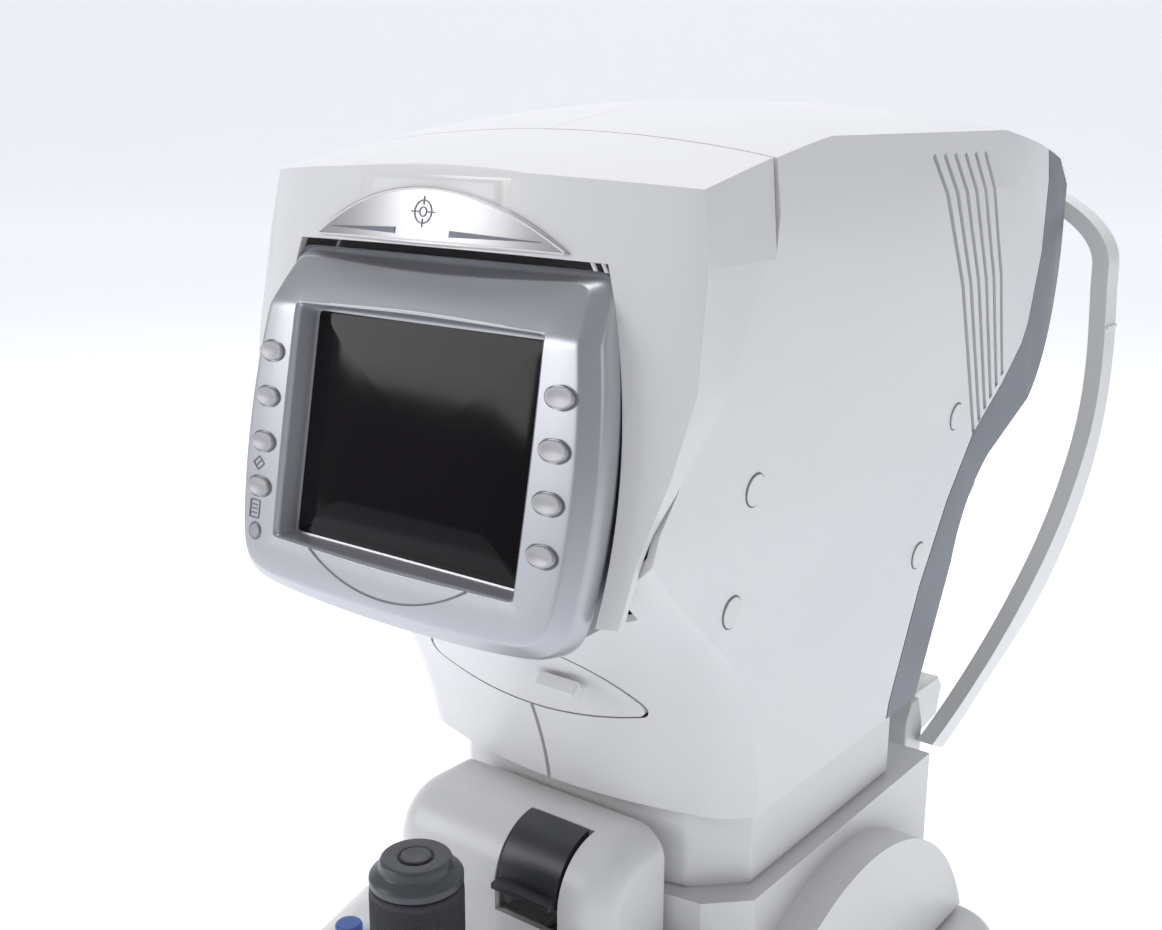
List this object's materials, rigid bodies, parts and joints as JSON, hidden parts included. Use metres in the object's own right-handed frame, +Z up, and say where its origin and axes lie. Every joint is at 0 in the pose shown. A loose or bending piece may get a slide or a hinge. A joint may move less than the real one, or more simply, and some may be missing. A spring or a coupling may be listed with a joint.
{
  "type": "autorefractor",
  "caption": "Tabletop autorefractor with a tilting screen, joystick stage, lifting measuring head, slip printer, chin rest and forehead arch.",
  "frame": {"origin": "on the table under the middle of the instrument's overall length and width", "axes": "+X to the operator's right, +Y from the operator to the patient, +Z up"},
  "size_m": [0.26, 0.4945, 0.457],
  "materials": {
    "white_shell": "satin white moulded plastic with a very fine grain",
    "white_frame": "smooth white moulded plastic",
    "white_key": "light grey moulded key caps",
    "silver_bezel": "silver-grey metallic painted plastic",
    "grey_back": "grey moulded plastic",
    "slate_plastic": "dark slate-grey moulded plastic",
    "badge_grey": "fine brushed silver foil",
    "screen_black": "glossy near-black screen",
    "black_plastic": "fine-grained black plastic",
    "knob_grey": "smooth dark grey plastic",
    "knob_rubber": "cross-knurled black rubber",
    "blue_cap": "glossy dark blue plastic",
    "lamp_lens": "clear grey pilot lamp lens",
    "foot_rubber": "black rubber",
    "pad_vinyl": "soft off-white silicone rubber",
    "casting": "as-cast aluminium",
    "machined": "milled aluminium",
    "steel": "ground steel",
    "optic_black": "black anodised",
    "window_glass": "coated optical glass",
    "board_green": "green circuit board",
    "inlet_black": "black moulded plastic",
    "paper": "thermal paper"
  },
  "bodies": {
    "base": {"base_plate": "casting", "base_cover": "white_shell", "rubber_feet": "foot_rubber", "gear_racks": "steel", "connector_panel": "steel", "power_inlet": "inlet_black", "headrest_frame": "white_frame", "chinrest_housing": "white_frame", "forehead_pad": "pad_vinyl"},
    "power_switch": {"power_switch": "inlet_black"},
    "chinrest": {"chinrest_post": "machined", "chin_cup": "white_frame"},
    "carriage": {"carriage_block": "machined"},
    "axle": {"pinion_axle": "steel"},
    "stage": {"guide_rods": "steel", "stage_chassis": "machined", "lift_posts": "steel", "lift_motor": "black_plastic", "stage_cover": "white_shell", "left_fender": "white_shell", "right_fender": "white_shell", "collar": "white_shell"},
    "lead_screw": {"lead_screw": "steel"},
    "deck_button": {"deck_button": "blue_cap"},
    "lock_lever": {"lock_lever": "black_plastic"},
    "gimbal": {"gimbal_ring": "steel"},
    "joystick": {"joystick_shaft": "knob_grey", "joystick_dome": "knob_rubber"},
    "knob": {"knob_sleeve": "knob_rubber"},
    "start_button": {"start_button": "knob_grey"},
    "head": {"front_cover": "white_shell", "left_side_shell": "white_shell", "right_side_shell": "white_shell", "back_cover": "slate_plastic", "badge_plate": "badge_grey", "screw_caps": "white_shell", "optical_bench": "machined", "lens_tube": "optic_black", "objective_window": "window_glass", "mire_ring": "optic_black", "camera_module": "optic_black", "main_board": "board_green", "printer_body": "black_plastic", "monitor_bracket": "steel"},
    "platen": {"platen_roller": "knob_rubber"},
    "paper": {"paper_roll": "paper"},
    "printer_door": {"printer_door": "white_shell"},
    "door_latch": {"door_latch": "grey_back"},
    "monitor": {"monitor_bezel": "silver_bezel", "monitor_back": "grey_back", "display_panel": "screen_black", "pilot_lamp": "lamp_lens"},
    "left_key_1": {"left_key_1": "white_key"},
    "left_key_2": {"left_key_2": "white_key"},
    "left_key_3": {"left_key_3": "white_key"},
    "left_key_4": {"left_key_4": "white_key"},
    "right_key_1": {"right_key_1": "white_key"},
    "right_key_2": {"right_key_2": "white_key"},
    "right_key_3": {"right_key_3": "white_key"},
    "right_key_4": {"right_key_4": "white_key"}
  },
  "joints": [
    {"name": "power_switch_rock", "type": "hinge", "parent": "base", "child": "power_switch", "pos_m": [0.122, -0.02, 0.028], "axis": [0, 0, -1], "range_deg": [0, 12]},
    {"name": "chinrest_lift", "type": "slide", "parent": "base", "child": "chinrest", "axis": [0, 0, 1], "range_m": [-0.035, 0.025]},
    {"name": "carriage_travel", "type": "slide", "parent": "base", "child": "carriage", "axis": [0, 1, 0], "range_m": [-0.035, 0.005]},
    {"name": "axle_roll", "type": "hinge", "parent": "carriage", "child": "axle", "pos_m": [0, 0, 0.068], "axis": [1, 0, 0], "range_deg": [-30, 175]},
    {"name": "stage_travel", "type": "slide", "parent": "carriage", "child": "stage", "axis": [1, 0, 0], "range_m": [-0.042, 0.042]},
    {"name": "head_lift", "type": "slide", "parent": "stage", "child": "head", "axis": [0, 0, 1], "range_m": [-0.006, 0.024]},
    {"name": "lead_screw_turn", "type": "hinge", "parent": "stage", "child": "lead_screw", "pos_m": [0, 0.025, 0.105], "axis": [0, 0, 1], "range_deg": [-200, 740]},
    {"name": "deck_button_press", "type": "slide", "parent": "stage", "child": "deck_button", "axis": [0, 0, -1], "range_m": [0, 0.0015], "stiffness_N_per_m": 400, "springref_m": -0.002},
    {"name": "lock_lever_turn", "type": "hinge", "parent": "stage", "child": "lock_lever", "pos_m": [0.0195, -0.129, 0.146], "axis": [1, 0, 0], "range_deg": [0, 17]},
    {"name": "joystick_lean_side", "type": "hinge", "parent": "stage", "child": "gimbal", "pos_m": [0, -0.196, 0.084], "axis": [0, 1, 0], "range_deg": [-10, 10]},
    {"name": "joystick_lean_front", "type": "hinge", "parent": "gimbal", "child": "joystick", "pos_m": [0, -0.196, 0.084], "axis": [1, 0, 0], "range_deg": [-10, 10]},
    {"name": "knob_turn", "type": "hinge", "parent": "joystick", "child": "knob", "pos_m": [0, -0.196, 0.145], "axis": [0, 0, 1], "continuous": true},
    {"name": "start_press", "type": "slide", "parent": "joystick", "child": "start_button", "axis": [0, 0, -1], "range_m": [0, 0.0012], "stiffness_N_per_m": 300, "springref_m": -0.0015},
    {"name": "platen_turn", "type": "hinge", "parent": "head", "child": "platen", "pos_m": [0, -0.121, 0.231], "axis": [1, 0, 0], "continuous": true},
    {"name": "paper_turn", "type": "hinge", "parent": "head", "child": "paper", "pos_m": [0, -0.112, 0.254], "axis": [1, 0, 0], "continuous": true},
    {"name": "printer_door_open", "type": "hinge", "parent": "head", "child": "printer_door", "pos_m": [0, -0.127, 0.214], "axis": [1, 0, 0], "range_deg": [0, 70]},
    {"name": "door_latch_slide", "type": "slide", "parent": "printer_door", "child": "door_latch", "axis": [0, -0.5501, 0.8351], "range_m": [0, 0.002], "stiffness_N_per_m": 200, "springref_m": -0.002},
    {"name": "monitor_tilt", "type": "hinge", "parent": "head", "child": "monitor", "pos_m": [0, -0.16941, 0.38979], "axis": [-1, 0, 0], "range_deg": [0, 18]},
    {"name": "left_key_1_press", "type": "slide", "parent": "monitor", "child": "left_key_1", "axis": [0, 0.982, -0.1891], "range_m": [0, 0.0012], "stiffness_N_per_m": 300, "springref_m": -0.0015},
    {"name": "left_key_2_press", "type": "slide", "parent": "monitor", "child": "left_key_2", "axis": [0, 0.982, -0.1891], "range_m": [0, 0.0012], "stiffness_N_per_m": 300, "springref_m": -0.0015},
    {"name": "left_key_3_press", "type": "slide", "parent": "monitor", "child": "left_key_3", "axis": [0, 0.982, -0.1891], "range_m": [0, 0.0012], "stiffness_N_per_m": 300, "springref_m": -0.0015},
    {"name": "left_key_4_press", "type": "slide", "parent": "monitor", "child": "left_key_4", "axis": [0, 0.982, -0.1891], "range_m": [0, 0.0012], "stiffness_N_per_m": 300, "springref_m": -0.0015},
    {"name": "right_key_1_press", "type": "slide", "parent": "monitor", "child": "right_key_1", "axis": [0, 0.982, -0.1891], "range_m": [0, 0.0012], "stiffness_N_per_m": 300, "springref_m": -0.0015},
    {"name": "right_key_2_press", "type": "slide", "parent": "monitor", "child": "right_key_2", "axis": [0, 0.982, -0.1891], "range_m": [0, 0.0012], "stiffness_N_per_m": 300, "springref_m": -0.0015},
    {"name": "right_key_3_press", "type": "slide", "parent": "monitor", "child": "right_key_3", "axis": [0, 0.982, -0.1891], "range_m": [0, 0.0012], "stiffness_N_per_m": 300, "springref_m": -0.0015},
    {"name": "right_key_4_press", "type": "slide", "parent": "monitor", "child": "right_key_4", "axis": [0, 0.982, -0.1891], "range_m": [0, 0.0012], "stiffness_N_per_m": 300, "springref_m": -0.0015}
  ],
  "couplings": [
    {"joint": "axle_roll", "follows": "carriage_travel", "rad_per_m": -83.333},
    {"joint": "lead_screw_turn", "follows": "head_lift", "rad_per_m": 523.6},
    {"joint": "platen_turn", "follows": "paper_turn", "ratio": 3.5}
  ]
}
